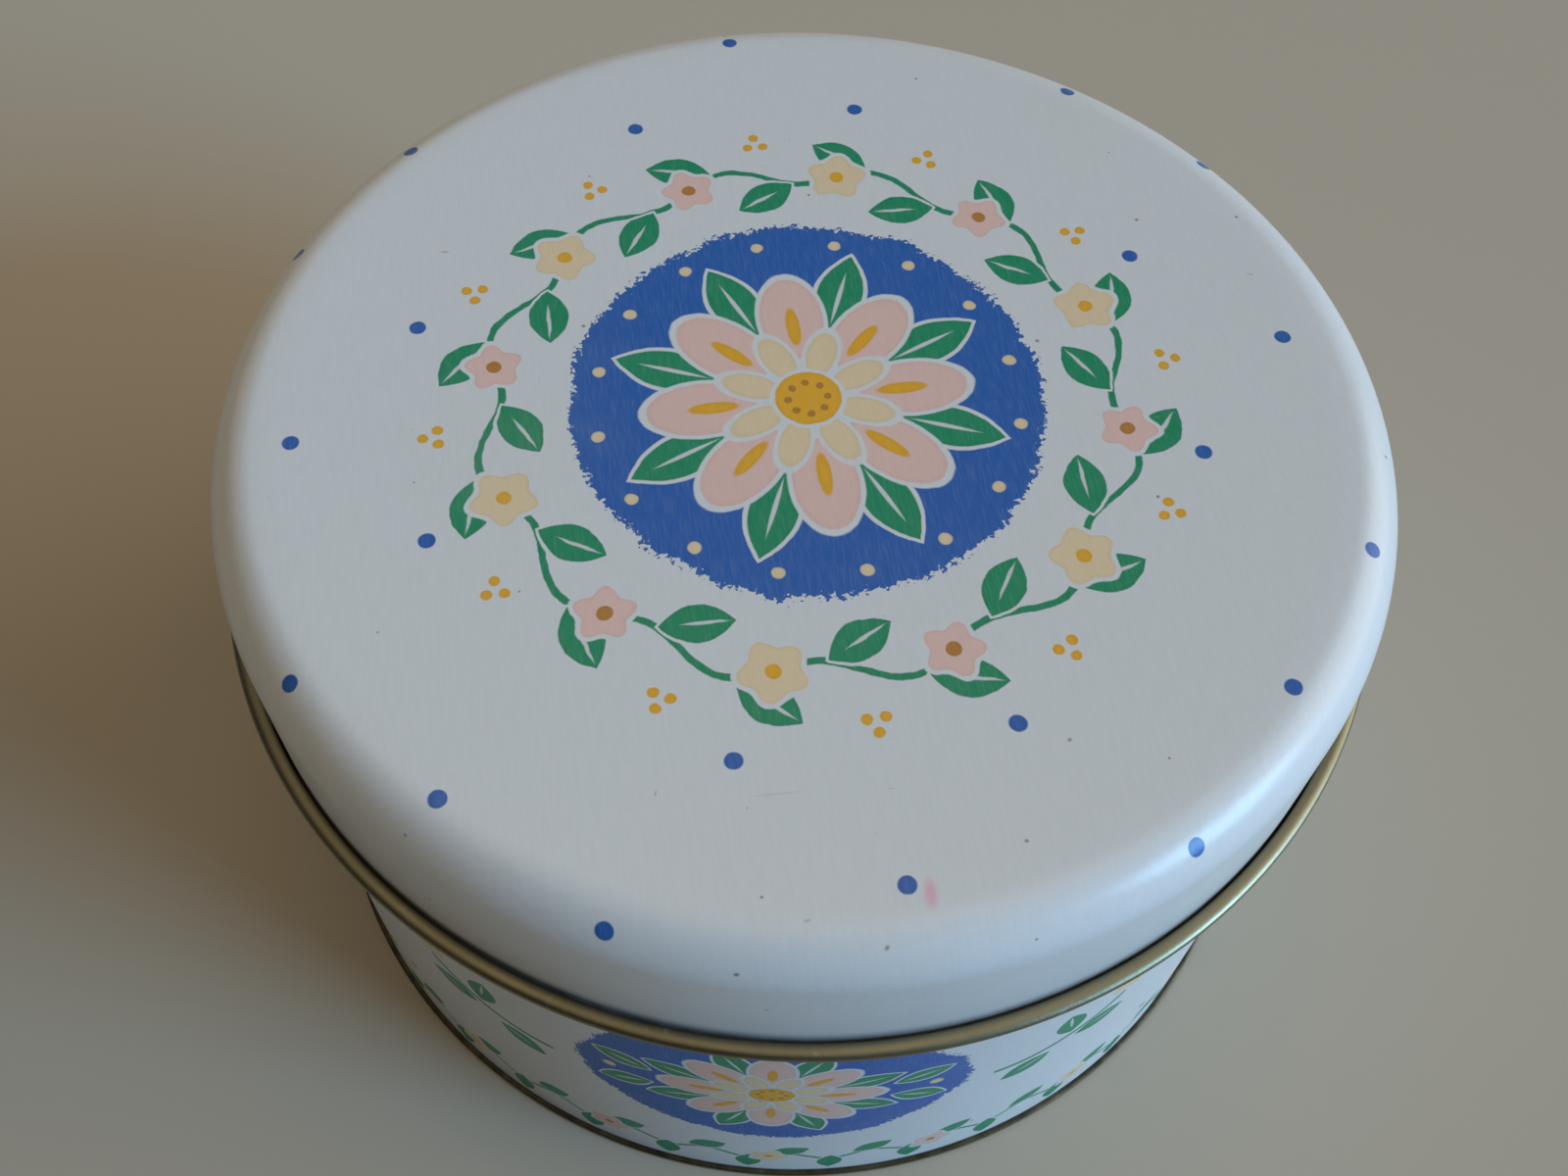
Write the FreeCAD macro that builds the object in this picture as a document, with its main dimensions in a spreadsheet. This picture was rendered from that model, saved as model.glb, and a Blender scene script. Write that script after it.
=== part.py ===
import FreeCAD, Part
import math
import os
import Sketcher

# A round slip-lid tin in tinplate: a drawn lid with a rolled edge, a wall rolled up from a strip
# with a lap seam at the back, and a base whose edge is hemmed round the wall's foot flange.
# Millimetres, +Z up, origin at the middle of the face that the tin stands on, lap seam towards +Y.

# As a sketch counts the points of a line or arc, and its own two axes
start, end, centre = range(1, 4)
across_axis, upright_axis = range(-1, -3, -1)

driving_sizes = {
    "lid_diameter": 133.0,  # outside the lid's skirt, above its rolled edge
    "overall_height": 76.5,  # from the face it stands on to the lid's flat top
    "sheet": 0.25,  # tinplate
    "lid_depth": 20.2,  # from the lid's top to the bottom of its rolled edge
    "shoulder_radius": 5.7,  # outside, from the lid's top into its skirt
    "roll_width": 2.3,  # the rolled edge, measured outwards from the skirt's inside
    "roll_height": 1.4,  # the rolled edge, pressed flatter than round
    "lid_clearance": 0.45,  # between the skirt and the wall, all round
    "lid_seat_gap": 0.15,  # under the closed lid's shoulder, above the wall's mouth
    "mouth_hem": 3.0,  # how far the wall's upper edge is folded down inside
    "flange_width": 0.45,  # how far the wall's foot turns outwards
    "seam_gap": 0.03,  # beside the sheets in the base's hem
    "base_recess": 2.0,  # from the face it stands on up to the base's panel
    "lap_width": 3.0,  # overlap of the strip's two ends in the side seam
    "lap_notch": 1.0,  # how far the overlap stops short of the base and of the mouth's hem
}

# Inside, where it doesn't show, the shoulder's bend is drawn as equal flats
shoulder_flats = 3
flat_angle = 90 / shoulder_flats

doc = FreeCAD.newDocument("SlipLidTin")
sizes = doc.addObject("Spreadsheet::Sheet", "Sizes")
for row, (alias, millimetres) in enumerate(driving_sizes.items(), start=1):
    sizes.set(f"A{row}", alias)
    sizes.set(f"B{row}", str(millimetres))
    sizes.setAlias(f"B{row}", alias)
doc.recompute()

# Places that more than one piece takes, as the sheet's expressions, from the tin's axis or its foot
wall_radius = "(Sizes.lid_diameter / 2 - Sizes.sheet - Sizes.lid_clearance)"
shoulder_room = "(Sizes.shoulder_radius - Sizes.sheet)"
# The closed lid's lowest flats come down on the wall's edge, and the nearer one decides
lower_flat = f"Sizes.lid_clearance / tan({flat_angle / 2} deg)"
next_flat = (
    f"({shoulder_room} * cos({flat_angle / 2} deg)"
    f" - ({shoulder_room} - Sizes.lid_clearance) * cos({1.5 * flat_angle} deg)) / sin({1.5 * flat_angle} deg)"
)
mouth_height = (
    f"(Sizes.overall_height - Sizes.shoulder_radius + min({lower_flat}; {next_flat}) - Sizes.lid_seat_gap)"
)
lap_foot = "(Sizes.base_recess + Sizes.sheet + Sizes.lap_notch)"
lap_top = f"({mouth_height} - Sizes.mouth_hem - Sizes.lap_notch)"


class Profile:
    """A closed outline in a sketch of its body, drawn near its place and then held by constraints."""

    def __init__(self, body, name, plane_role):
        planes = [plane for plane in body.Origin.OriginFeatures if plane.Role == plane_role]
        self.sketch = body.newObject("Sketcher::SketchObject", name)
        self.sketch.AttachmentSupport = [(planes[0], "")]
        self.sketch.MapMode = "FlatFace"

    def line(self, first, last):
        segment = Part.LineSegment(FreeCAD.Vector(*first, 0), FreeCAD.Vector(*last, 0))
        return self.sketch.addGeometry(segment)

    def chain(self, *corners):
        """Lines from corner to corner, each joined to the next."""
        lines = [self.line(*pair) for pair in zip(corners, corners[1:])]
        for before, after in zip(lines, lines[1:]):
            self.meet((before, end, after, start))
        return lines

    def arc(self, middle, radius, first_angle, last_angle):
        circle = Part.Circle(FreeCAD.Vector(*middle, 0), FreeCAD.Vector(0, 0, 1), radius)
        turn = Part.ArcOfCircle(circle, math.radians(first_angle), math.radians(last_angle))
        return self.sketch.addGeometry(turn)

    def oval(self, middle, half_width, half_height, first_angle, last_angle):
        """Part of an ellipse that is wider than tall, with its two axes as construction lines."""
        ellipse = Part.Ellipse(FreeCAD.Vector(*middle, 0), half_width, half_height)
        turn = Part.ArcOfEllipse(ellipse, math.radians(first_angle), math.radians(last_angle))
        number = self.sketch.addGeometry(turn)
        self.sketch.exposeInternalGeometry(number)
        return number, number + 1, number + 2

    def guide(self, middle, radius):
        circle = Part.Circle(FreeCAD.Vector(*middle, 0), FreeCAD.Vector(0, 0, 1), radius)
        return self.sketch.addGeometry(circle, True)

    def hold(self, kind, *where):
        return self.sketch.addConstraint(Sketcher.Constraint(kind, *where))

    def meet(self, *pairs):
        for pair in pairs:
            self.hold("Coincident", *pair)

    def flow(self, *pairs):
        for pair in pairs:
            self.hold("Tangent", *pair)

    def level(self, *lines):
        for line in lines:
            self.hold("Horizontal", line)

    def upright(self, *lines):
        for line in lines:
            self.hold("Vertical", line)

    def size(self, name, formula, kind, *where):
        number = self.hold(kind, *where, self.drawn(kind, where))
        self.sketch.renameConstraint(number, name)
        self.sketch.setExpression(f"Constraints.{name}", formula)

    def drawn(self, kind, where):
        """The size as it is drawn, which the sheet's expression then takes over."""
        if kind == "Radius":
            return self.sketch.Geometry[where[0]].Radius
        if kind == "Distance":
            return self.sketch.Geometry[where[0]].length()
        points = [self.sketch.getPoint(*where[i : i + 2]) for i in range(0, len(where), 2)]
        if len(points) == 1:
            points.insert(0, FreeCAD.Vector(0, 0, 0))
        span = points[1] - points[0]
        return span.x if kind == "DistanceX" else span.y


def new_body(label):
    body = doc.addObject("PartDesign::Body", label)
    body.Label = label
    return body


def revolve(body, name, profile):
    turned = body.newObject("PartDesign::Revolution", name)
    turned.Profile = profile.sketch
    turned.ReferenceAxis = (profile.sketch, ["V_Axis"])
    turned.Angle = 360


def make_lid():
    # One drawn sheet: flat top, rounded shoulder, skirt, and an edge rolled outwards into a bead
    radius = sizes.lid_diameter / 2
    top = sizes.overall_height
    sheet = sizes.sheet
    shoulder = sizes.shoulder_radius
    room = shoulder - sheet
    half_width = sizes.roll_width / 2
    half_height = sizes.roll_height / 2
    shoulder_middle = (radius - shoulder, top - shoulder)
    roll_middle = (radius - sheet + half_width, top - sizes.lid_depth + half_height)
    roll_back = math.degrees(math.acos((half_width - sheet) / half_width))
    roll_rise = half_height * math.sin(math.radians(roll_back))  # where the roll comes back to the skirt
    flat_corners = [
        (
            shoulder_middle[0] + room * math.cos(math.radians(flat_angle * corner)),
            shoulder_middle[1] + room * math.sin(math.radians(flat_angle * corner)),
        )
        for corner in range(shoulder_flats + 1)
    ]

    body = new_body("lid")
    outline = Profile(body, "LidProfile", "XZ_Plane")
    panel = outline.line((0, top), (radius - shoulder, top))
    bend = outline.arc(shoulder_middle, shoulder, 0, 90)
    skirt = outline.line((radius, top - shoulder), (radius, roll_middle[1] + roll_rise))
    inside = outline.chain((radius - sheet, roll_middle[1]), *flat_corners, (0, top - sheet), (0, top))
    skirt_inside, flats, panel_inside, middle = inside[0], inside[1:-2], inside[-2], inside[-1]
    room_guide = outline.guide(shoulder_middle, room)
    bead, bead_width, bead_height = outline.oval(
        roll_middle, half_width, half_height, 180, 360 + 180 - roll_back
    )

    outline.flow((panel, end, bend, end), (bend, start, skirt, start), (bead, start, skirt_inside, start))
    outline.meet((skirt, end, bead, end), (middle, end, panel, start))
    outline.level(panel, panel_inside, bead_width)
    outline.upright(skirt, skirt_inside, middle)
    outline.hold("PointOnObject", middle, start, upright_axis)
    outline.meet((room_guide, centre, bend, centre))
    outline.hold("Horizontal", skirt_inside, end, bend, centre)
    outline.hold("Vertical", panel_inside, start, bend, centre)
    for line in (skirt_inside, *flats):
        outline.hold("PointOnObject", line, end, room_guide)
    for flat in flats[1:]:
        outline.hold("Equal", flats[0], flat)

    outline.size("skirt_radius", "Sizes.lid_diameter / 2", "DistanceX", skirt, start)
    outline.size("top_height", "Sizes.overall_height", "DistanceY", panel, start)
    outline.size("sheet_thickness", "Sizes.sheet", "DistanceY", middle, start, middle, end)
    outline.size("shoulder", "Sizes.shoulder_radius", "Radius", bend)
    outline.size("roll_across", "Sizes.roll_width", "Distance", bead_width)
    outline.size("roll_tall", "Sizes.roll_height", "Distance", bead_height)
    outline.size(
        "roll_depth", "Sizes.lid_depth - Sizes.roll_height / 2", "DistanceY", bead, centre, panel, start
    )
    revolve(body, "LidShell", outline)
    return body


def make_wall():
    # A strip rolled into a cylinder, its upper edge hemmed inside and its foot turned out as a flange
    sheet = sizes.sheet
    radius = sizes.lid_diameter / 2 - sheet - sizes.lid_clearance
    flange = radius + sizes.flange_width
    mouth = sizes.overall_height - sizes.shoulder_radius  # near enough to draw it; the size below sets it
    hem = mouth - sizes.mouth_hem

    body = new_body("tin_wall")
    outline = Profile(body, "WallProfile", "XZ_Plane")
    outside, rim, hem_inside, hem_edge, inside, flange_under, flange_edge, flange_top = outline.chain(
        (radius, 2 * sheet),
        (radius, mouth),
        (radius - 2 * sheet, mouth),
        (radius - 2 * sheet, hem),
        (radius - sheet, hem),
        (radius - sheet, sheet),
        (flange, sheet),
        (flange, 2 * sheet),
        (radius, 2 * sheet),
    )
    outline.meet((flange_top, end, outside, start))
    outline.upright(outside, hem_inside, inside, flange_edge)
    outline.level(rim, hem_edge, flange_under, flange_top)

    outline.size("wall_outside", wall_radius, "DistanceX", outside, start)
    outline.size("wall_thickness", "Sizes.sheet", "DistanceX", inside, end, outside, start)
    outline.size("mouth_level", mouth_height, "DistanceY", outside, end)
    outline.size("hem_fold", "Sizes.sheet", "DistanceX", hem_edge, start, hem_edge, end)
    outline.size("hem_depth", "Sizes.mouth_hem", "DistanceY", hem_inside, end, hem_inside, start)
    outline.size("flange_seat", "Sizes.sheet", "DistanceY", flange_under, start)
    outline.size("flange_thickness", "Sizes.sheet", "DistanceY", flange_edge, start, flange_edge, end)
    outline.size("flange_reach", "Sizes.flange_width", "DistanceX", outside, start, flange_edge, end)
    revolve(body, "WallShell", outline)

    # The strip's other end laps inside at the back, notched clear of the base and of the mouth's hem
    lap_outside = radius - sheet / 2  # half way into the wall, so that the two are one sheet of metal
    lap_inside = radius - 2 * sheet
    half_lap = sizes.lap_width / 2
    far_angle = math.degrees(math.asin(half_lap / lap_outside))
    near_angle = math.degrees(math.asin(half_lap / lap_inside))
    far_depth = lap_outside * math.cos(math.radians(far_angle))
    near_depth = lap_inside * math.cos(math.radians(near_angle))
    lap = Profile(body, "LapProfile", "XY_Plane")
    lap.sketch.setExpression("AttachmentOffset.Base.z", lap_foot)
    far = lap.arc((0, 0), lap_outside, 90 - far_angle, 90 + far_angle)
    near = lap.arc((0, 0), lap_inside, 90 - near_angle, 90 + near_angle)
    left = lap.line((-half_lap, far_depth), (-half_lap, near_depth))
    right = lap.line((half_lap, far_depth), (half_lap, near_depth))
    lap.meet((far, end, left, start), (near, end, left, end))
    lap.meet((far, start, right, start), (near, start, right, end))
    lap.meet((far, centre, across_axis, start), (near, centre, across_axis, start))
    lap.upright(left, right)
    lap.size("lap_outside", f"{wall_radius} - Sizes.sheet / 2", "Radius", far)
    lap.size("lap_inside", f"{wall_radius} - 2 * Sizes.sheet", "Radius", near)
    lap.size("half_lap", "Sizes.lap_width / 2", "DistanceX", right, start)
    lap.size("whole_lap", "Sizes.lap_width", "DistanceX", left, start, right, start)
    overlap = body.newObject("PartDesign::Pad", "SideLap")
    overlap.Profile = lap.sketch
    overlap.setExpression("Length", f"{lap_top} - {lap_foot}")
    return body


def make_base():
    # A disc with its panel set up off the floor, its edge folded round the wall's flange as a hem
    sheet = sizes.sheet
    gap = sizes.seam_gap
    wall = sizes.lid_diameter / 2 - sheet - sizes.lid_clearance
    hem_room = wall + sizes.flange_width + gap
    step = wall - sheet - gap
    panel = sizes.base_recess

    body = new_body("tin_base")
    outline = Profile(body, "BaseProfile", "XZ_Plane")
    (
        panel_under, step_inside, foot, hem_outside, hem_top, hem_edge,
        hem_under, hem_inside, ledge, step_outside, panel_over, middle,
    ) = outline.chain(
        (0, panel),
        (step - sheet, panel),
        (step - sheet, 0),
        (hem_room + sheet, 0),
        (hem_room + sheet, 3 * sheet),
        (wall + gap, 3 * sheet),
        (wall + gap, 2 * sheet),
        (hem_room, 2 * sheet),
        (hem_room, sheet),
        (step, sheet),
        (step, panel + sheet),
        (0, panel + sheet),
        (0, panel),
    )
    outline.meet((middle, end, panel_under, start))
    outline.level(panel_under, foot, hem_top, hem_under, ledge, panel_over)
    outline.upright(step_inside, hem_outside, hem_edge, hem_inside, step_outside, middle)
    outline.hold("PointOnObject", middle, start, upright_axis)
    outline.hold("PointOnObject", foot, start, across_axis)

    outline.size("panel_lift", "Sizes.base_recess", "DistanceY", panel_under, start)
    outline.size("panel_thickness", "Sizes.sheet", "DistanceY", middle, end, middle, start)
    outline.size("step_radius", f"{wall_radius} - Sizes.sheet - Sizes.seam_gap", "DistanceX", ledge, end)
    outline.size("step_thickness", "Sizes.sheet", "DistanceX", foot, start, ledge, end)
    outline.size("ledge_height", "Sizes.sheet", "DistanceY", ledge, end)
    outline.size("hem_room", "Sizes.sheet", "DistanceY", hem_inside, end, hem_inside, start)
    outline.size("hem_thickness", "Sizes.sheet", "DistanceY", hem_edge, end, hem_edge, start)
    outline.size("hem_mouth", f"{wall_radius} + Sizes.seam_gap", "DistanceX", hem_edge, start)
    outline.size(
        "hem_reach", f"{wall_radius} + Sizes.flange_width + Sizes.seam_gap", "DistanceX", hem_inside, start
    )
    outline.size("hem_wall", "Sizes.sheet", "DistanceX", ledge, start, foot, end)
    revolve(body, "BaseShell", outline)
    return body


tin = [make_lid(), make_wall(), make_base()]
doc.recompute()

for item in doc.Objects:
    if "Invalid" in item.State or "Error" in item.State:
        raise RuntimeError(f"{item.Label} did not come out: {item.State}")
for body in tin:
    if body.Shape.isNull() or not body.Shape.isValid() or len(body.Shape.Solids) != 1:
        raise RuntimeError(f"{body.Label} is not one valid solid")

os.makedirs("parts", exist_ok=True)
for body in tin:
    body.Shape.exportStep(f"parts/{body.Label}.step")
    print(f"{body.Label}: {body.Shape.Volume:.1f} cubic millimetres")
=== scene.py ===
import math

import bpy
import numpy as np
from mathutils import Matrix, Vector


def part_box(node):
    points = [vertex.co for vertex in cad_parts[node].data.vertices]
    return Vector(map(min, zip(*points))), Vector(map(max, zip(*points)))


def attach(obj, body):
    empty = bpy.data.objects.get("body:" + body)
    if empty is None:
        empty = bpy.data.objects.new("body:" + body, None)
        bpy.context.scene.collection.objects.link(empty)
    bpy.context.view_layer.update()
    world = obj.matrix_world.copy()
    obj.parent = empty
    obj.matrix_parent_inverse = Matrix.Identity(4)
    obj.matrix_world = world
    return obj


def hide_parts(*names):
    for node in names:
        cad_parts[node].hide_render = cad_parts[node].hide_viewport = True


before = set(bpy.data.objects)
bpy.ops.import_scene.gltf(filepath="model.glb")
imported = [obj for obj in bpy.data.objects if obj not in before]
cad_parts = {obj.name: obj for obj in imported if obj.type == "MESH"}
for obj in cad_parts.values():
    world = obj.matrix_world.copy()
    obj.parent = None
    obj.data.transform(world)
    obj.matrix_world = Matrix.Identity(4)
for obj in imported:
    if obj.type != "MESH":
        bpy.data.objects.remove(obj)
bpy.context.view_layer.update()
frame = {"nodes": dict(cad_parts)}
mm = 0.001
print("frame loaded:", ", ".join(frame["nodes"]))

sheet = 0.25  # tinplate, in millimetres as every size below
around = 256  # columns in one turn of the tin
sharpFrom = 35  # degrees from which an edge isn't smoothed


def nodeSize(node):
    # a turned node's outer radius, lowest and highest level, in millimetres
    low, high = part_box(node)
    return (high[0] - low[0]) / 2 / mm, low[2] / mm, high[2] / mm


# Sheet metal: a centre line of straight runs and round bends, thickened both ways and turned about the axis

def run(length, pieces=1):
    # a move is its length, how far it turns and in how many pieces it is drawn
    return length, 0.0, pieces


def bend(radius, degrees, pieces):
    return radius * math.radians(abs(degrees)), math.radians(degrees), pieces


def bentLine(start, heading, moves):
    # walks the moves one after another: along a run the heading stays, along a bend it turns evenly
    at, angle = np.array(start, float), math.radians(heading)
    points, headings = [at[None]], [np.array([angle])]
    for length, turn, pieces in moves:
        part = np.linspace(0, 1, pieces + 1)[1:]
        angles = angle + turn * part
        if turn:
            radius = length / turn
            centre = at + radius * np.array([-math.sin(angle), math.cos(angle)])
            along = centre + radius * np.stack([np.sin(angles), -np.cos(angles)], 1)
        else:
            along = at + length * part[:, None] * np.array([math.cos(angle), math.sin(angle)])
        points.append(along)
        headings.append(angles)
        at, angle = along[-1], angles[-1]
    return np.concatenate(points), np.concatenate(headings)


def thicken(points, headings):
    # half the sheet to the left of the line, then half to its right on the way back
    across = np.stack([-np.sin(headings), np.cos(headings)], 1) * sheet / 2
    return np.concatenate([points + across, (points - across)[::-1]])


def turnSection(name, outline, printAt, closed, materials, finish, columns=None):
    # point (i, j) is outline point i carried round the axis by angle j; a closed outline joins end to start,
    # an open one has both ends on the axis, where each closes in one point
    angles = np.linspace(0, 2 * math.pi, around + 1) if columns is None else columns
    steps = len(angles) - 1
    radii, levels = outline[:, 0], outline[:, 1]
    ring = np.stack([
        radii[:, None] * np.cos(angles[:-1]),
        radii[:, None] * np.sin(angles[:-1]),
        np.repeat(levels[:, None], steps, 1),
    ], 2)
    rows = len(outline)
    firstRow, lastRow = (0, rows) if closed else (1, rows - 2)
    i, j = np.meshgrid(np.arange(firstRow, lastRow), np.arange(steps), indexing="ij")
    i, j = i.ravel(), j.ravel()
    cornerRows = np.stack([i, i + 1, i + 1, i], 1)
    cornerColumns = np.stack([j, j, j + 1, j + 1], 1)
    corners = (cornerRows % rows) * steps + cornerColumns % steps
    cornerAt = [(cornerRows % rows).ravel()]
    cornerTurn = [angles[cornerColumns].ravel()]
    loops, sides = [corners.ravel()], [np.full(len(i), 4)]
    faceFinish = [finish[i]]
    if not closed:
        j = np.arange(steps)
        for pole, beside, order in ((0, 1, -1), (rows - 1, rows - 2, 1)):
            fanRows = np.stack([np.full(steps, pole), np.full(steps, beside), np.full(steps, beside)], 1)
            fanColumns = np.stack([j, j + 1, j], 1)
            fan = fanRows * steps + fanColumns % steps
            fan[:, 0] = pole * steps
            loops.append(fan[:, ::order].ravel())
            cornerAt.append(fanRows[:, ::order].ravel())
            cornerTurn.append(angles[fanColumns][:, ::order].ravel())
            sides.append(np.full(steps, 3))
            faceFinish.append(np.full(steps, finish[min(pole, rows - 2)]))
    vertices = ring.reshape(-1, 3) * mm
    loops, sides = np.concatenate(loops), np.concatenate(sides)
    used, loops = np.unique(loops, return_inverse=True)
    flat = printAt(np.concatenate(cornerAt), np.concatenate(cornerTurn)) if printAt else None
    return meshPiece(name, vertices[used], loops, sides, materials, np.concatenate(faceFinish), flat)


def meshPiece(name, vertices, loops, sides, materials, faceFinish, flat=None):
    mesh = bpy.data.meshes.new(name)
    mesh.vertices.add(len(vertices))
    mesh.vertices.foreach_set("co", vertices.ravel())
    mesh.loops.add(len(loops))
    mesh.loops.foreach_set("vertex_index", loops.astype(np.int32))
    mesh.polygons.add(len(sides))
    starts = np.concatenate([[0], np.cumsum(sides)[:-1]])
    mesh.polygons.foreach_set("loop_start", starts.astype(np.int32))
    mesh.polygons.foreach_set("material_index", faceFinish.astype(np.int32))
    for material in materials:
        mesh.materials.append(material)
    if flat is not None:
        layer = mesh.uv_layers.new(name="PrintFlat")
        layer.uv.foreach_set("vector", (flat * mm).astype(np.float32).ravel())
    mesh.update(calc_edges=True)
    mesh.validate()
    mesh.shade_smooth()
    mesh.set_sharp_from_angle(angle=math.radians(sharpFrom))
    piece = bpy.data.objects.new(name, mesh)
    bpy.context.scene.collection.objects.link(piece)
    print(f"{name}: {len(vertices)} points, {len(sides)} faces")
    return piece


# Shader maths: a Wire is one value in a material's node tree

class Wire:
    def __init__(self, tree, socket):
        self.tree, self.socket = tree, socket

    def node(self, kind, settings, sockets, out=0):
        made = self.tree.nodes.new(kind)
        for name, value in settings.items():
            setattr(made, name, value)
        for name, value in sockets.items():
            if isinstance(value, Wire):
                self.tree.links.new(value.socket, made.inputs[name])
            else:
                made.inputs[name].default_value = value
        return Wire(self.tree, made.outputs[out])

    def math(self, operation, *others, clamp=False):
        values = dict(enumerate((self, *others)))
        return self.node("ShaderNodeMath", {"operation": operation, "use_clamp": clamp}, values)

    def __add__(self, other):
        return self.math("ADD", other)

    def __sub__(self, other):
        return self.math("SUBTRACT", other)

    def __rsub__(self, other):
        return self.node("ShaderNodeMath", {"operation": "SUBTRACT"}, {0: other, 1: self})

    def __mul__(self, other):
        return self.math("MULTIPLY", other)

    def __truediv__(self, other):
        return self.math("DIVIDE", other)

    def __abs__(self):
        return self.math("ABSOLUTE")

    __radd__, __rmul__ = __add__, __mul__

    def parts(self):
        # the three numbers of a place
        split = self.node("ShaderNodeSeparateXYZ", {}, {0: self}).socket.node
        return [Wire(self.tree, output) for output in split.outputs]

    def lower(self, other):
        return self.math("MINIMUM", other)

    def higher(self, other):
        return self.math("MAXIMUM", other)

    def over(self, under, top):
        # this wire as a mask that lays one colour over another
        return self.node("ShaderNodeMix", {"data_type": "RGBA"}, {0: self, 6: under, 7: top}, out=2)

    def between(self, low, high):
        # 0 at low and 1 at high, eased at both ends
        eased = {"interpolation_type": "SMOOTHSTEP"}
        return self.node("ShaderNodeMapRange", eased, {"Value": self, "From Min": low, "From Max": high})

    def noise(self, scale, detail=2.0, roughness=0.5):
        sockets = {"Vector": self, "Scale": scale, "Detail": detail, "Roughness": roughness}
        return self.node("ShaderNodeTexNoise", {}, sockets)


def newMaterial(name):
    material = bpy.data.materials.new(name)
    material.use_nodes = True
    tree = material.node_tree
    shader = tree.nodes["Principled BSDF"]
    coordinates = tree.nodes.new("ShaderNodeTexCoord")
    return material, shader, Wire(tree, coordinates.outputs["Object"])


def feed(shader, **wires):
    tree = shader.id_data
    for name, wire in wires.items():
        tree.links.new(wire.socket, shader.inputs[name])


# The print: every shape is a distance in millimetres that is negative inside

inks = {
    "white": (0.760, 0.775, 0.785, 1),
    "blue": (0.032, 0.140, 0.475, 1),
    "green": (0.020, 0.298, 0.146, 1),
    "ochre": (0.900, 0.460, 0.035, 1),
    "brown": (0.550, 0.245, 0.053, 1),
    "pink": (0.865, 0.587, 0.525, 1),
    "cream": (0.860, 0.680, 0.440, 1),
}
inkEdge = 0.16  # how far an ink's edge fades
inkRim = 0.6  # how far in from its edge an ink lies thicker
rimTone, rimStrength = 0.72, 0.25  # how much darker it is there


def ink(shape):
    return shape.math("MULTIPLY_ADD", -1 / inkEdge, 0.5, clamp=True)


def inked(paper, shape, colour, keyline=0.0):
    # lays a shape's ink on the paper, thicker at its rim, with a white line left round it where one is asked
    if keyline:
        paper = ink(shape - keyline).over(paper, inks["white"])
    thick = tuple(rimTone * part for part in inks[colour][:3]) + (1,)
    rim = shape.between(-inkRim, 0) * rimStrength
    return ink(shape).over(paper, rim.over(inks[colour], thick))


streaks = {
    "stretch": (4.2, 0.35, 1),
    "thin": 0.06,
    "grey": 0.15,
    "greyTint": (0.80, 0.81, 0.82, 1),
}


def streaked(paper, place):
    # the roller leaves ink thinner and all tones greyer in fine streaks that run up the print
    stretched = place.node("ShaderNodeMapping", {}, {"Vector": place, "Scale": streaks["stretch"]})
    thin = stretched.noise(1.0, 2.0).between(0.40, 0.75) * streaks["thin"]
    paper = thin.over(paper, inks["white"])
    grey = stretched.noise(0.7, 3.0).between(0.35, 0.70) * streaks["grey"]
    darken = {"data_type": "RGBA", "blend_type": "MULTIPLY"}
    return paper.node("ShaderNodeMix", darken, {0: grey, 6: paper, 7: streaks["greyTint"]}, out=2)


def turned(u, v, degrees):
    # the same place measured along axes that are turned by an angle
    c, s = math.cos(math.radians(degrees)), math.sin(math.radians(degrees))
    return u * c + v * s, v * c - u * s


def reach(u, v):
    return (u * u + v * v).math("SQRT")


def oval(u, v, length, width):
    # a circle of radius 1 in halves of its length and width, scaled back by the smaller half
    return (reach(u / (length / 2), v / (width / 2)) - 1) * (min(length, width) / 2)


def leaf(u, v, length, width):
    # pointed at both ends and widest in the middle, as two parabolas that meet
    along = u / (length / 2)
    return abs(v) - (1 - along * along) * (width / 2)


def blossom(u, v, radius, lobes, depth):
    # a round flower whose edge swells once for each lobe
    swell = (v.math("ARCTAN2", u) * lobes).math("COSINE")
    return reach(u, v) - radius - swell * depth


def ringPlace(far, angle, copies, shift, radius):
    # folds a full turn into equal shares and returns the place in a share, out from the radius and sideways
    share = (angle * (copies / (2 * math.pi)) + shift).math("FRACT") - 0.5
    folded = share * (2 * math.pi / copies)
    return far * folded.math("COSINE") - radius, far * folded.math("SINE")


def dotGrid(x, y, pitch, radius):
    # dots in rows set half a pitch aside from each other, and the place that each dot has in the grid
    across, up = pitch
    rising = (x / across + y / up).math("ROUND")
    falling = (x / across - y / up).math("ROUND")
    dotX, dotY = (rising + falling) * (across / 2), (rising - falling) * (up / 2)
    return reach(x - dotX, y - dotY) - radius, dotX, dotY


rosetteSizes = {
    "petals": 8,
    "leaves": (15.2, 11.5, 5.0),  # radius of their middles, length, width
    "veins": (14.6, 7.5, 0.5),
    "outer": (11.2, 11.5, 6.8),
    "flames": (10.0, 5.4, 1.5),
    "inner": (6.2, 6.2, 3.2),
    "eye": 3.5,
    "seeds": (2.1, 0.42),  # radius of their ring, and their own
    "keyline": 0.5,
}


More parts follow.
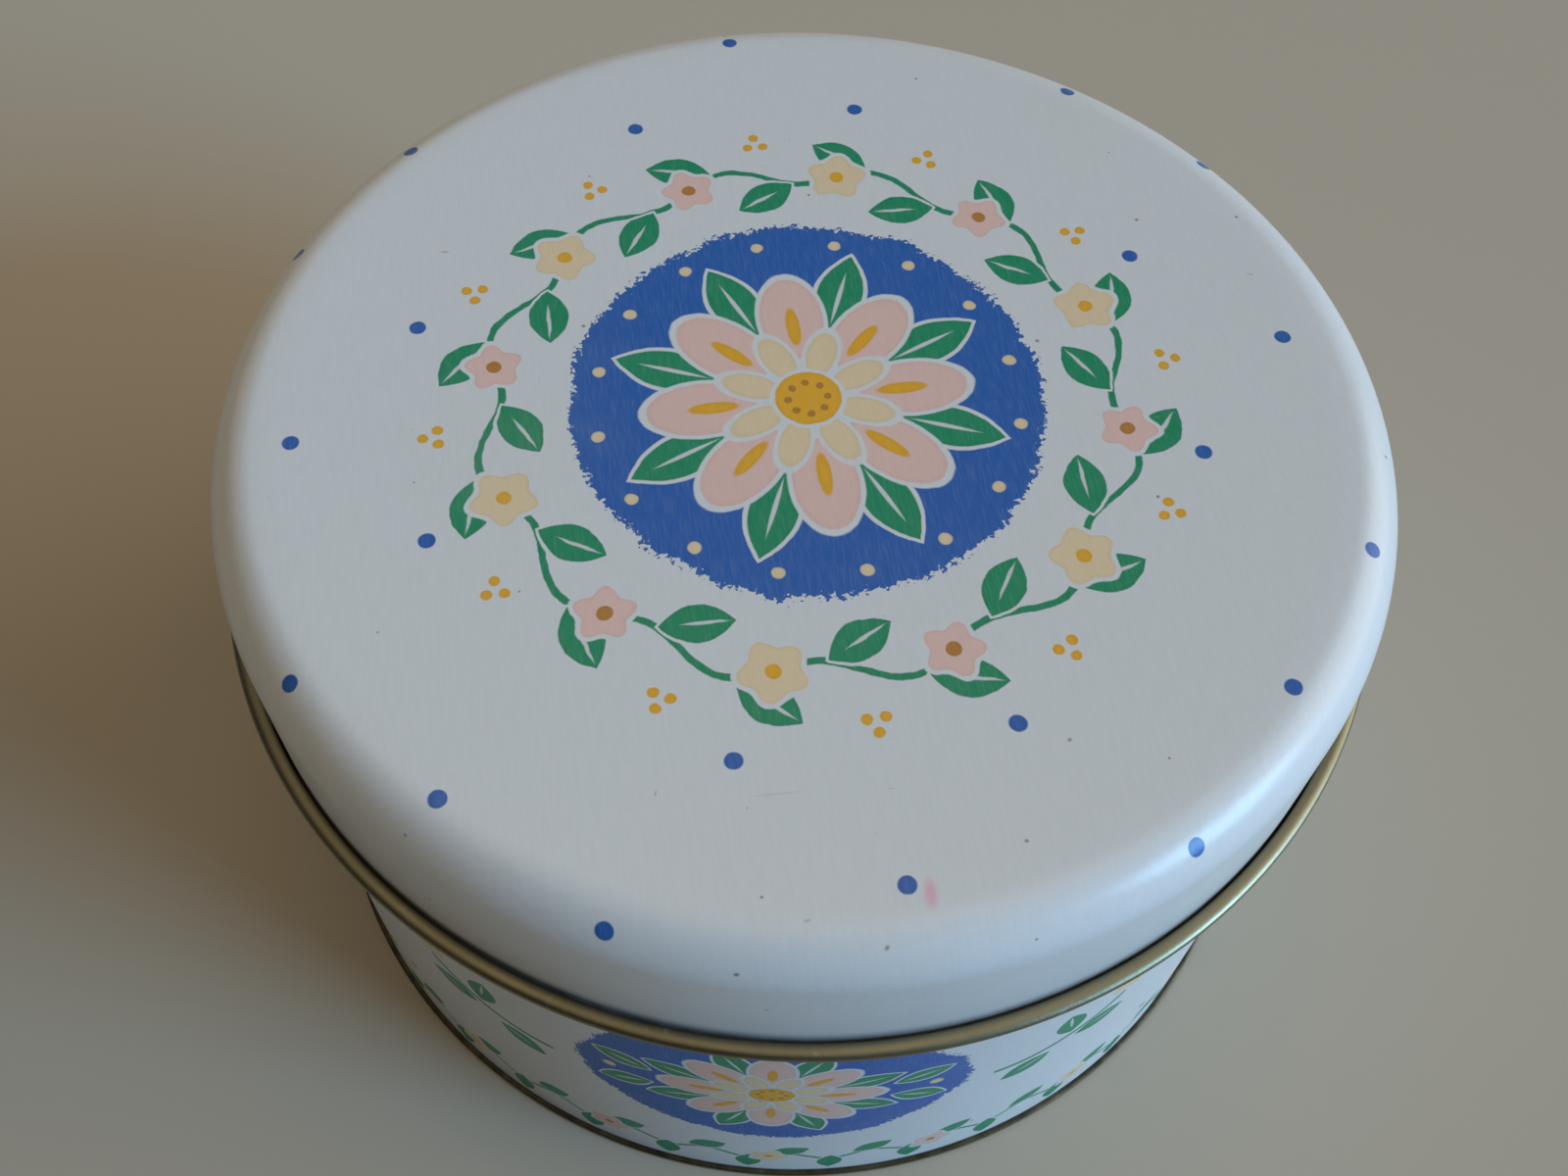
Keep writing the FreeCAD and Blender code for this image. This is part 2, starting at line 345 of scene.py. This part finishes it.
def rosette(paper, far, angle, size):
    # a folk rosette: leaves with veins, a ring of petals with flames, a ring of small ones, then an eye
    copies, keyline = rosetteSizes["petals"], rosetteSizes["keyline"] * size
    rings = (
        ("leaves", leaf, 0.0, "green", keyline),
        ("veins", leaf, 0.0, "white", 0.0),
        ("outer", oval, 0.5, "pink", keyline),
        ("flames", oval, 0.5, "ochre", 0.0),
        ("inner", oval, 0.0, "cream", 0.9 * keyline),
    )
    for name, form, shift, colour, line in rings:
        radius, length, width = rosetteSizes[name]
        u, v = ringPlace(far, angle, copies, shift, radius * size)
        paper = inked(paper, form(u, v, length * size, width * size), colour, line)
    paper = inked(paper, far - rosetteSizes["eye"] * size, "ochre", keyline)
    radius, seed = rosetteSizes["seeds"]
    u, v = ringPlace(far, angle, copies, 0.5, radius * size)
    return inked(paper, reach(u, v) - seed * size, "brown")


lidPrint = {
    "turn": 11.7,  # the print lies turned against the front
    "dotPitch": (28.15, 29.95),
    "dotOrigin": (-0.43, 1.32),
    "dotRadius": 0.95,
    "dotsFrom": 43.0,
    "dotsTo": 67.5,
    "field": 26.6,  # radius of the blue field
    "beads": 23.8,  # radius of the ring of small dots on it
    "beadCount": 16,
    "bead": 0.75,
    "rosette": 1.07,  # its scale
    "wreath": 35.6,  # radius of the vine's middle
    "waves": 12,
    "waveHeight": 1.5,
    "vine": 0.42,  # half its width
    "leaf": (8.0, 4.6),
    "vein": (5.0, 0.45),
    "leafAside": 3.6,  # from the vine
    "leafLean": 28,
    "blossoms": ((0.25, 3.3, "cream", "ochre"), (0.75, 2.9, "pink", "brown")),  # shift, radius, inks
    "lobes": (5, 0.45),  # of a blossom, and how far they swell
    "eye": 0.85,
    "berries": 41.0,
    "berry": 0.62,
}
markTints = {
    "rub": (0.85, 0.44, 0.55, 1),
    "scratch": (0.34, 0.28, 0.23, 1),
    "speck": (0.20, 0.15, 0.11, 1),
}
lidMarks = [
    # what it is, its place and size on the print, how it leans, how strong it is
    ("rub", (1.5, -59.7), (2.6, 1.1), 84, 0.75),
    ("scratch", (-11.0, -47.7), (4.4, 0.2), -2, 0.22),
    ("scratch", (-22.3, -46.0), (0.6, 0.2), 70, 0.5),
    ("speck", (-17.3, -64.6), (0.5, 0.38), 0, 0.85),
    ("speck", (-3.3, -64.0), (0.5, 0.34), 40, 0.7),
    ("speck", (18.2, -46.1), (0.45, 0.34), 30, 0.7),
    ("speck", (11.5, -55.9), (0.38, 0.34), 0, 0.75),
    ("speck", (-46.4, -46.3), (0.4, 0.34), 0, 0.5),
    ("speck", (-10.1, -60.6), (0.6, 0.25), 10, 0.4),
]


def lidPattern(plane):
    turn = {"Vector": plane, "Rotation": (0, 0, -math.radians(lidPrint["turn"]))}
    place = plane.node("ShaderNodeMapping", {}, turn)
    x, y, _ = place.parts()
    far, angle = reach(x, y), y.math("ARCTAN2", x)
    hand = place.noise(0.55) - 0.5  # the edges waver a little, as drawn by hand

    # dots, left out where the wreath lies
    originX, originY = lidPrint["dotOrigin"]
    dots, dotX, dotY = dotGrid(x - originX, y - originY, lidPrint["dotPitch"], lidPrint["dotRadius"])
    dotFar = reach(dotX + originX, dotY + originY)
    dots = dots.higher(lidPrint["dotsFrom"] - dotFar).higher(dotFar - lidPrint["dotsTo"])
    paper = inked(inks["white"], dots + hand * 0.25, "blue")
    far = far + hand * 0.5

    # a blue field with a dry-brushed edge
    bristles = (place.noise(1.5, 3.0, 0.6) - 0.5) * 4.0 + (place.noise(0.16) - 0.5) * 3.0
    paper = inked(paper, far - lidPrint["field"] + bristles, "blue")
    u, v = ringPlace(far, angle, lidPrint["beadCount"], 0.25, lidPrint["beads"])
    paper = inked(paper, reach(u, v) - lidPrint["bead"], "cream")
    paper = rosette(paper, far, angle, lidPrint["rosette"])

    # the wreath: a waving vine, leaves to either side of it, berries and two kinds of blossom
    waves, wreath = lidPrint["waves"], lidPrint["wreath"]
    wave = (angle * waves).math("SINE") * lidPrint["waveHeight"]
    paper = inked(paper, abs(far - wreath - wave) - lidPrint["vine"], "green")
    for shift, aside in ((0.0, 1), (0.5, -1)):
        u, v = ringPlace(far, angle, waves, shift, wreath + aside * lidPrint["leafAside"])
        u, v = turned(u, v, 90 - aside * lidPrint["leafLean"])
        paper = inked(paper, leaf(u, v, *lidPrint["leaf"]), "green", 0.45)
        paper = inked(paper, leaf(u - 0.8, v, *lidPrint["vein"]), "white")
    for shift, radius, colour, eye in lidPrint["blossoms"]:
        u, v = ringPlace(far, angle, waves / 2, shift, wreath)
        paper = inked(paper, blossom(u, v, radius, *lidPrint["lobes"]), colour, 0.6)
        paper = inked(paper, reach(u, v) - lidPrint["eye"], eye)

    # berries in threes: two side by side and one further out
    u, v = ringPlace(far, angle, waves, 0.5, lidPrint["berries"])
    berries = reach(u, abs(v) - 0.95).lower(reach(u - 1.6, v)) - lidPrint["berry"]
    paper = streaked(inked(paper, berries, "ochre"), place)
    for kind, (markX, markY), (length, width), lean, strength in lidMarks:
        u, v = turned(x - markX, y - markY, lean)
        soft = width * 0.35
        mark = oval(u, v, length, width).between(soft, -soft) * strength
        paper = mark.over(paper, markTints[kind])
    return paper


def speckled(place, cell, least, size):
    # round specks, one in some of the cells that a plane is shared into, each of its own size
    cells = {"voronoi_dimensions": "2D", "feature": "F1"}
    near = place.node("ShaderNodeTexVoronoi", cells, {"Vector": place, "Scale": 1 / cell})
    chance = Wire(near.tree, near.socket.node.outputs["Color"]).parts()[0]
    radius = (chance - least) * (size / (1 - least))
    return (radius - near * cell).between(-0.04, 0.06)


enamelWear = {
    "stain": (0.66, 0.60, 0.48, 1),
    "speck": (0.20, 0.15, 0.11, 1),
    "nick": (0.34, 0.29, 0.24, 1),
    # near-black of the painted shade, partly dirt, along an enamel's lower edge
    "dirtAndShade": (0.045, 0.043, 0.042, 1),
    "specks": (13.0, 0.55, 0.24),  # cell, how rare they are, radius of the largest
    "nicks": (11.0, 0.7, 0.16),
    "slant": 37,
    "speckStrength": 0.7,
    "nickStrength": 0.55,
    "smooth": 0.29,  # roughness of clean varnish, and what rubbing and the dark lower band, partly dirt and partly painted shade, add to it
    "rubbed": 0.10,
    "dirtyAndShaded": 0.2,
}


def agedEnamel(name, pattern, stain, dirtyAndShaded, gloss, coat):
    # printed enamel under a satin varnish, with specks, nicks, faint stains, and a dark band down to its
    # lower edge that is painted shade, partly dirt
    material, shader, place = newMaterial(name)
    flat = place.node("ShaderNodeUVMap", {"uv_map": "PrintFlat"}, {})
    plane = flat.node("ShaderNodeMapping", {}, {"Vector": flat, "Scale": (1 / mm,) * 3})
    colour = pattern(plane)
    stains = place.noise(22.0, 4.0, 0.6).between(0.52, 0.75) * stain
    colour = stains.over(colour, enamelWear["stain"])
    specks = speckled(plane, *enamelWear["specks"])
    colour = (specks * enamelWear["speckStrength"]).over(colour, enamelWear["speck"])
    slanted = {"Vector": plane, "Rotation": (0, 0, math.radians(enamelWear["slant"])), "Scale": (0.3, 1, 1)}
    nicks = speckled(plane.node("ShaderNodeMapping", {}, slanted), *enamelWear["nicks"])
    colour = (nicks * enamelWear["nickStrength"]).over(colour, enamelWear["nick"])
    level = place.parts()[2] / mm
    # painted shade, partly dirt: the enamel grows darker towards its lower edge, where it meets the next
    # part
    dirtAndShade = level.between(*dirtyAndShaded) * (place.noise(400.0, 3.0) * 0.4 + 0.55)
    colour = dirtAndShade.over(colour, enamelWear["dirtAndShade"])
    rubbed = place.noise(60.0, 5.0, 0.7).between(0.45, 0.8)
    roughness = rubbed * enamelWear["rubbed"] + enamelWear["smooth"] + dirtAndShade * enamelWear["dirtyAndShaded"]
    peel = place.noise(900.0, 1.0)
    bump = place.node("ShaderNodeBump", {}, {"Strength": 0.05, "Distance": 0.0004, "Height": peel})
    feed(shader, **{"Base Color": colour, "Roughness": roughness, "Normal": bump})
    shader.inputs["Specular IOR Level"].default_value = gloss
    shader.inputs["Coat Weight"].default_value = coat
    shader.inputs["Coat Roughness"].default_value = 0.18
    return material


lacquerTones = {
    # dull and bright
    "inside": ((0.36, 0.310, 0.185, 1), (0.47, 0.410, 0.250, 1)),
    # painted shade: the roll is the inside's lacquer curled out, given darker tones for how dim it looks
    "bead": ((0.235, 0.213, 0.137, 1), (0.305, 0.275, 0.177, 1)),
    "foot": ((0.33, 0.285, 0.165, 1), (0.43, 0.375, 0.225, 1)),
}
lacquerWear = {
    "bare": (0.56, 0.54, 0.48, 1),
    "bareStrength": 0.4,
    # near-black of the painted shade, partly dirt, in a crease
    "dirtAndShade": (0.030, 0.030, 0.028, 1),
}


def goldLacquer(where, crease=None, satin=0.27):
    # clear gold lacquer on tinplate, rubbed to the metal in places, with painted shade, partly dirt, in a
    # crease where there is one
    material, shader, place = newMaterial(where + "Lacquer")
    tone = place.noise(35.0, 3.0).between(0.3, 0.7)
    colour = tone.over(*lacquerTones[where])
    bare = place.noise(260.0, 4.0, 0.65).between(0.62, 0.74)
    colour = (bare * lacquerWear["bareStrength"]).over(colour, lacquerWear["bare"])
    roughness = place.noise(120.0, 3.0) * 0.14 + satin
    if crease:
        x, y, z = place.parts()
        # painted shade, partly dirt, in the crease, where the lacquer is also rougher
        dirtAndShade = crease(reach(x, y) / mm, z / mm) * (place.noise(500.0, 3.0) * 0.5 + 0.6)
        colour = dirtAndShade.over(colour, lacquerWear["dirtAndShade"])
        roughness = roughness + dirtAndShade * 0.25
    grain = place.noise(1500.0, 1.0)
    bump = place.node("ShaderNodeBump", {}, {"Strength": 0.06, "Distance": 0.0003, "Height": grain})
    feed(shader, **{"Base Color": colour, "Roughness": roughness, "Normal": bump})
    shader.inputs["Metallic"].default_value = 1.0
    return material


wallPrint = {
    "repeats": 3,
    "middle": 35.0,  # level of the medallions' middles
    "field": (22.5, 18.0),  # half the blue field's width and height
    "dotsAcross": 8,  # in one repeat
    "dotsUp": 19.2,
    "dotRadius": 0.62,
    "dotsBeside": 47.0,
    "dotsAbove": 15.0,
    "rosette": 0.74,  # its scale
    "sideLeaf": (16.9, 3.7, 24),  # how far across and up, and its lean
    "sideBerry": (18.6, 0.8),
    "sprigs": 5.5,  # how far the sprigs stand off
    "vine": 7.6,  # level of the vine along the foot
    "waves": 40,
    "waveHeight": 1.1,
    "vineLeaf": (5.6, 3.2),
    "vineLeafLift": 2.7,
    "vineBlossoms": ((0.0, 2.3, "pink", "brown"), (0.5, 2.1, "cream", "ochre")),  # shift, radius, inks
}
sprig = {
    "stemMiddle": (22.0, 16.0),  # the stem is an arc round this place
    "stemRadius": 20.0,
    "stemAcross": (20.5, 37.0),
    "stemTop": 12.0,
    "stem": 0.4,  # half its width
    "leaf": (7.0, 4.0),
    "leaves": ((25, -7.2, 30), (29.5, 2.4, 100), (34.5, -3.0, 10)),  # across, up, lean
    "blossom": (37.5, 6.5),
}


def wallPattern(place):
    along, level, _ = place.parts()
    length = 2 * math.pi * wallRadius
    share = length / wallPrint["repeats"]
    across = ((along / share + 0.5).math("FRACT") - 0.5) * share
    rise = level - wallPrint["middle"]
    hand = (place.noise(0.7) - 0.5) * 0.4
    far, angle = reach(across, rise) + hand, rise.math("ARCTAN2", across)

    # dots only between the medallions and above the vine
    pitch = share / wallPrint["dotsAcross"], wallPrint["dotsUp"]
    dots, dotX, _ = dotGrid(across, rise, pitch, wallPrint["dotRadius"])
    dots = dots.higher(wallPrint["dotsBeside"] - abs(dotX)).higher(wallPrint["dotsAbove"] - level)
    paper = inked(inks["white"], dots, "blue")

    # an oval blue field with a dry-brushed edge
    bristles = (place.noise(1.9, 3.0, 0.6) - 0.5) * 3.0 + (place.noise(0.2) - 0.5) * 2.0
    halfWide, halfTall = wallPrint["field"]
    paper = inked(paper, oval(across, rise, 2 * halfWide, 2 * halfTall) + hand + bristles, "blue")
    paper = rosette(paper, far, angle, wallPrint["rosette"])

    # two leaves and a berry on either side of the rosette
    side = abs(across)
    leafAcross, leafUp, leafLean = wallPrint["sideLeaf"]
    for half in (1, -1):
        u, v = turned(side - leafAcross, rise - half * leafUp, half * leafLean)
        paper = inked(paper, leaf(u, v, 7.0, 3.4), "green", 0.35)
        paper = inked(paper, leaf(u + 0.4, v, 4.2, 0.4), "white")
    berryAcross, berry = wallPrint["sideBerry"]
    paper = inked(paper, reach(side - berryAcross, rise) - berry, "cream")

    # a sprig further out
    side = side - wallPrint["sprigs"]
    middleAcross, middleUp = sprig["stemMiddle"]
    stemStart, stemEnd = sprig["stemAcross"]
    stem = abs(reach(side - middleAcross, rise - middleUp) - sprig["stemRadius"]) - sprig["stem"]
    stem = stem.higher(stemStart - side).higher(side - stemEnd).higher(rise - sprig["stemTop"])
    paper = inked(paper, stem, "green")
    for leafAcross, leafUp, lean in sprig["leaves"]:
        u, v = turned(side - leafAcross, rise - leafUp, lean)
        paper = inked(paper, leaf(u, v, *sprig["leaf"]), "green")
        paper = inked(paper, leaf(u - 0.7, v, 4.4, 0.4), "white")
    blossomAcross, blossomUp = sprig["blossom"]
    u, v = side - blossomAcross, rise - blossomUp
    paper = inked(paper, blossom(u, v, 2.9, 5, 0.4), "cream", 0.4)
    paper = inked(paper, reach(u, v) - 0.8, "ochre")

    # a vine along the foot with leaves to either side and blossoms
    step = length / wallPrint["waves"]
    fromVine = level - wallPrint["vine"]
    wave = (along * (2 * math.pi / step)).math("SINE") * wallPrint["waveHeight"]
    paper = inked(paper, abs(fromVine - wave) - 0.35, "green")
    for shift, half, lean in ((0.25, 1, 32), (0.75, -1, -92)):
        u = ((along / step + shift).math("FRACT") - 0.5) * step
        u, v = turned(u, fromVine - half * wallPrint["vineLeafLift"], lean)
        paper = inked(paper, leaf(u, v, *wallPrint["vineLeaf"]), "green", 0.35)
    blossomStep = 4 * step
    for shift, radius, colour, eye in wallPrint["vineBlossoms"]:
        u = ((along / blossomStep + shift).math("FRACT") - 0.5) * blossomStep
        paper = inked(paper, blossom(u, fromVine, radius, 5, 0.35), colour, 0.5)
        paper = inked(paper, reach(u, fromVine) - 0.6, eye)
    return streaked(paper, place)


# Lid: one drawn sheet, its edge curled outwards so that the lacquered inside shows on the roll

lidSheetSizes = {
    "shoulder": 5.7,
    "rollAcross": 2.3,
    "rollTall": 1.4,
    "curl": 300,
    "curlPieces": 40,
    "sunk": 0.22,  # how far the top has sunk in its middle
}


def makeLid(gold):
    rollRadius, foot, top = nodeSize("lid")
    skirt = rollRadius - lidSheetSizes["rollAcross"] + sheet
    shoulder, rollTall = lidSheetSizes["shoulder"], lidSheetSizes["rollTall"]
    flatRadius = skirt - shoulder
    moves = [
        run(flatRadius, 24),
        bend(shoulder - sheet / 2, -90, 16),
        run(top - shoulder - foot - rollTall / 2, 6),
        bend((rollTall - sheet) / 2, lidSheetSizes["curl"], lidSheetSizes["curlPieces"]),
    ]
    points, headings = bentLine((0, top - sheet / 2), 0, moves)
    lengths = np.concatenate([[0], np.cumsum(np.linalg.norm(np.diff(points, axis=0), axis=1))])
    points[:, 1] -= lidSheetSizes["sunk"] * np.clip(1 - (points[:, 0] / flatRadius) ** 2, 0, 1)

    # the round curl is pulled outwards into an oval, and its headings follow
    curl = slice(-lidSheetSizes["curlPieces"], None)
    pull = (lidSheetSizes["rollAcross"] - sheet) / (rollTall - sheet)
    middle = skirt - sheet / 2
    points[curl, 0] = middle + (points[curl, 0] - middle) * pull
    headings[curl] = np.arctan2(np.sin(headings[curl]), np.cos(headings[curl]) * pull)
    outline = thicken(points, headings)
    outline[[0, -1], 0] = 0
    flatReach = np.concatenate([lengths, lengths[::-1]])
    beforeCurl = len(points) - lidSheetSizes["curlPieces"]
    printed, gilt, rolled = range(3)
    finish = np.full(len(outline) - 1, gilt)
    finish[:beforeCurl + 2] = printed
    finish[len(points) - 1:len(points) + lidSheetSizes["curlPieces"]] = rolled

    def printAt(rows, turns):
        return np.stack([flatReach[rows] * np.cos(turns), flatReach[rows] * np.sin(turns)], 1)

    # painted shade, partly dirt: the roll darkens where it tucks in under the skirt
    def underSkirt(far, level):
        return far.between(skirt + 0.75, skirt + 0.1) * 0.8

    rollTop = foot + rollTall
    # painted shade, partly dirt: the skirt darkens over its last millimetres down to the roll
    dirtyAndShaded = rollTop + 2.2, rollTop - 0.6
    enamel = agedEnamel("lidEnamel", lidPattern, stain=0.10, dirtyAndShaded=dirtyAndShaded, gloss=0.42, coat=0.08)
    bead = goldLacquer("bead", underSkirt, satin=0.36)
    lid = turnSection("lidSheet", outline, printAt, False, [enamel, gold, bead], finish)
    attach(lid, "lid")
    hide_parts("lid")


# Wall: a strip with its mouth folded down inside and its foot turned out, lapped at the back

wallSizes = {
    "flange": 0.45,
    "hem": 3.0,
    "fold": 0.14,
    "footBend": 0.2,
    "lap": 3.0,
    "lapNotch": 1.0,
    "lapPieces": 8,
    "seamDepth": 0.14,
    "seamHalf": 0.16,
}
flangeRadius, flangeFoot, mouth = nodeSize("tin_wall")
wallRadius = flangeRadius - wallSizes["flange"]


def makeWall(gold):
    fold, footBend = wallSizes["fold"], wallSizes["footBend"]
    foldLevel = mouth - fold - sheet / 2
    flangeLevel = flangeFoot + sheet / 2
    hemRun = wallSizes["hem"] - (mouth - foldLevel)
    moves = [
        run(hemRun, 2),
        bend(fold, -180, 10),
        run(foldLevel - flangeLevel - footBend, 24),
        bend(footBend, 90, 5),
        run(wallSizes["flange"] + sheet / 2 - footBend),
    ]
    start = (wallRadius - sheet / 2 - 2 * fold, foldLevel - hemRun)
    points, headings = bentLine(start, 90, moves)
    outline = thicken(points, headings)
    printed, gilt = range(2)
    finish = np.full(len(outline), gilt)
    finish[:len(points) - 1] = printed  # the outer face, which also shows on the hem inside

    def printAt(rows, turns):
        # measured round the wall from the middle of the front, with the print's joint at the back
        return np.stack([(turns - math.pi) * wallRadius, outline[rows, 1]], 1)

    # the turn starts and ends at the seam, with a narrow groove there where the strip's end lies on itself
    half = wallSizes["seamHalf"] / wallRadius
    turns = np.concatenate([[0, half], np.linspace(0, 2 * math.pi, around + 1)[1:-1], [2 * math.pi - half]])
    turns = np.append(turns, 2 * math.pi)
    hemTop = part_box("tin_wall")[0][2] / mm + 2 * sheet
    # painted shade, partly dirt: the wall darkens just above the base's folded edge
    dirtyAndShaded = hemTop + 0.7, hemTop
    enamel = agedEnamel("wallEnamel", wallPattern, stain=0.08, dirtyAndShaded=dirtyAndShaded, gloss=0.06, coat=0.0)
    wall = turnSection("wallSheet", outline, printAt, True, [enamel, gold], finish, columns=turns)

    # the groove is pressed in from outside above the foot, and the wall turned with its seam to the back
    backwards = math.radians(90)
    coordinates = np.empty(len(wall.data.vertices) * 3)
    wall.data.vertices.foreach_get("co", coordinates)
    coordinates = coordinates.reshape(-1, 3)
    far = np.hypot(coordinates[:, 0], coordinates[:, 1])
    atSeam = (np.abs(coordinates[:, 1]) < 1e-6) & (coordinates[:, 0] > 0)
    outer = (far > (wallRadius - sheet / 4) * mm) & (coordinates[:, 2] > 4 * sheet * mm)
    far = far - np.where(atSeam & outer, wallSizes["seamDepth"] * mm, 0)
    angle = np.arctan2(coordinates[:, 1], coordinates[:, 0]) + backwards
    coordinates[:, 0], coordinates[:, 1] = far * np.cos(angle), far * np.sin(angle)
    wall.data.vertices.foreach_set("co", coordinates.ravel())
    wall.data.update()
    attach(wall, "tin")
    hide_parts("tin_wall")


def makeSideLap(gold):
    # the strip's other end inside: a thin plate that follows the wall, the same grid on its two faces
    half, pieces = wallSizes["lap"] / 2 / wallRadius, wallSizes["lapPieces"]
    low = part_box("tin_base")[1][2] / mm + wallSizes["lapNotch"]
    high = mouth - wallSizes["hem"] - wallSizes["lapNotch"]
    turns = np.linspace(math.pi / 2 - half, math.pi / 2 + half, pieces + 1)
    section = np.concatenate([
        np.stack([np.cos(turns), np.sin(turns)], 1) * (wallRadius - sheet),
        np.stack([np.cos(turns), np.sin(turns)], 1)[::-1] * (wallRadius - 2 * sheet),
    ])
    count = len(section)
    vertices = np.concatenate([
        np.column_stack([section, np.full(count, low)]),
        np.column_stack([section, np.full(count, high)]),
    ]) * mm
    j = np.arange(count)
    walls = np.stack([j, (j + 1) % count, (j + 1) % count + count, j + count], 1)
    first = j[:pieces]
    ends = np.stack([first, count - 1 - first, count - 2 - first, first + 1], 1)
    loops = np.concatenate([walls, ends, ends[:, ::-1] + count]).ravel()
    sides = np.full(len(loops) // 4, 4)
    lap = meshPiece("sideLap", vertices, loops, sides, [gold], np.zeros(len(sides), int))
    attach(lap, "tin")


# Base: a disc with its panel set up off the floor and its edge folded round the wall's flange

baseSizes = {
    "seamGap": 0.03,
    "panelBend": 0.7,
    "footBend": 0.2,
    "sunk": 0.15,
}


def makeBase():
    hemRadius, foot, panelTop = nodeSize("tin_base")

    # painted shade, partly dirt: the top of the folded edge darkens next to the wall
    def onLedge(far, level):
        raised = level.between(foot + 2.1 * sheet, foot + 2.7 * sheet)
        return raised * far.between(wallRadius - 0.3, wallRadius)

    step = wallRadius - sheet - baseSizes["seamGap"] - sheet / 2
    hemMiddle = hemRadius - 1.5 * sheet
    panelBend, footBend = baseSizes["panelBend"], baseSizes["footBend"]
    panel = panelTop - sheet / 2
    moves = [
        run(step - panelBend, 12),
        bend(panelBend, -90, 8),
        run(panel - foot - sheet / 2 - panelBend - footBend),
        bend(footBend, 90, 5),
        run(hemMiddle - step - footBend),
        bend(sheet, 180, 12),
        run(hemMiddle - wallRadius - baseSizes["seamGap"]),
    ]
    points, headings = bentLine((0, panel), 0, moves)
    inPanel = np.clip(1 - (points[:, 0] / (step - panelBend)) ** 2, 0, 1)
    points[:, 1] -= baseSizes["sunk"] * inPanel
    outline = thicken(points, headings)
    outline[[0, -1], 0] = 0
    finish = np.zeros(len(outline) - 1, int)
    gilt = goldLacquer("foot", onLedge)
    base = turnSection("baseSheet", outline, None, False, [gilt], finish)
    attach(base, "tin")
    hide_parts("tin_base")


inside = goldLacquer("inside")
makeLid(inside)
makeWall(inside)
makeSideLap(inside)
makeBase()

# Floor, light and camera

stageSizes = {
    "floor": 6.0,
    "floorColour": (0.51, 0.452, 0.365, 1),
    "walls": (0.022, 0.021, 0.020, 1),
    "ceiling": (0.945, 0.768, 0.512, 1),
    "ceilingFrom": 0.76,  # how steeply up the ceiling begins and is full, as a direction's height
    "ceilingFull": 0.99,
    "backdrop": (0.44, 0.425, 0.395, 1),
}
lights = {
    # the direction that it comes from, strength, colour, width in degrees
    "window": ((1.09, -0.40, 0.47), 2.80, (0.31, 0.60, 0.93), 26),
    "doorway": ((1.12, 0.30, 0.50), 1.20, (1.0, 0.93, 0.82), 50),
    "farWall": ((-0.8, 0.9, 0.5), 0.21, (1.0, 0.95, 0.88), 40),
}
view = {
    "place": (0, -0.11487, 0.21361),
    "tilt": 56.94,  # degrees down from level
    "pan": -0.94,
    "roll": 2.21,
    "sensor": 36.0,
    "lens": 36.50,
}


def makeFloor():
    half = stageSizes["floor"]
    mesh = bpy.data.meshes.new("floor")
    corners = [(-half, -half, 0), (half, -half, 0), (half, half, 0), (-half, half, 0)]
    mesh.from_pydata(corners, [], [(0, 1, 2, 3)])
    material, shader, _ = newMaterial("paleFloor")
    shader.inputs["Base Color"].default_value = stageSizes["floorColour"]
    shader.inputs["Roughness"].default_value = 0.9
    shader.inputs["Specular IOR Level"].default_value = 0.1
    mesh.materials.append(material)
    floor = bpy.data.objects.new("floor", mesh)
    bpy.context.scene.collection.objects.link(floor)


def makeLight(name, place, power, colour, width):
    # a far soft light in the direction of its place, as wide in degrees as it looks from the tin
    lamp = bpy.data.lights.new(name, "SUN")
    lamp.energy, lamp.color, lamp.angle = power, colour, math.radians(width)
    light = bpy.data.objects.new(name, lamp)
    light.rotation_euler = Vector(place).to_track_quat("Z", "Y").to_euler()
    light.location = place
    bpy.context.scene.collection.objects.link(light)


def makeRoom():
    # a warm ceiling that fades into dim walls, and a pale backdrop past the floor's edge
    world = bpy.data.worlds.new("room")
    bpy.context.scene.world = world
    world.use_nodes = True
    tree = world.node_tree
    nodes, links = tree.nodes, tree.links
    room, output = nodes["Background"], nodes["World Output"]
    direction = Wire(tree, nodes.new("ShaderNodeTexCoord").outputs["Generated"])
    upward = direction.parts()[2].between(stageSizes["ceilingFrom"], stageSizes["ceilingFull"])
    links.new(upward.over(stageSizes["walls"], stageSizes["ceiling"]).socket, room.inputs["Color"])
    pale = nodes.new("ShaderNodeBackground")
    pale.inputs["Color"].default_value = stageSizes["backdrop"]
    seen, either = nodes.new("ShaderNodeLightPath"), nodes.new("ShaderNodeMixShader")
    links.new(seen.outputs["Is Camera Ray"], either.inputs[0])
    links.new(room.outputs[0], either.inputs[1])
    links.new(pale.outputs[0], either.inputs[2])
    links.new(either.outputs[0], output.inputs["Surface"])


def makeCamera():
    # looks down on the lid from the front, a little off level as the picture was held
    tilt, pan, roll = (math.radians(view[name]) for name in ("tilt", "pan", "roll"))
    ahead = np.array([math.sin(pan) * math.cos(tilt), math.cos(pan) * math.cos(tilt), -math.sin(tilt)])
    right = np.cross(ahead, (0, 0, 1))
    right /= np.linalg.norm(right)
    up = np.cross(right, ahead)
    acrossFrame = math.cos(roll) * right + math.sin(roll) * up
    upFrame = math.cos(roll) * up - math.sin(roll) * right
    lens = bpy.data.cameras.new("camera")
    lens.sensor_width, lens.lens = view["sensor"], view["lens"]
    lens.clip_start, lens.clip_end = 0.01, 20.0
    camera = bpy.data.objects.new("camera", lens)
    turn = Matrix(np.stack([acrossFrame, upFrame, -ahead], 1).tolist()).to_4x4()
    camera.matrix_world = Matrix.Translation(view["place"]) @ turn
    bpy.context.scene.collection.objects.link(camera)
    bpy.context.scene.camera = camera


makeFloor()
for lightName, (lightPlace, power, tint, width) in lights.items():
    makeLight(lightName, lightPlace, power, tint, width)
makeRoom()
makeCamera()
bpy.context.scene.view_settings.view_transform = "Standard"
print("stage, light and camera set")
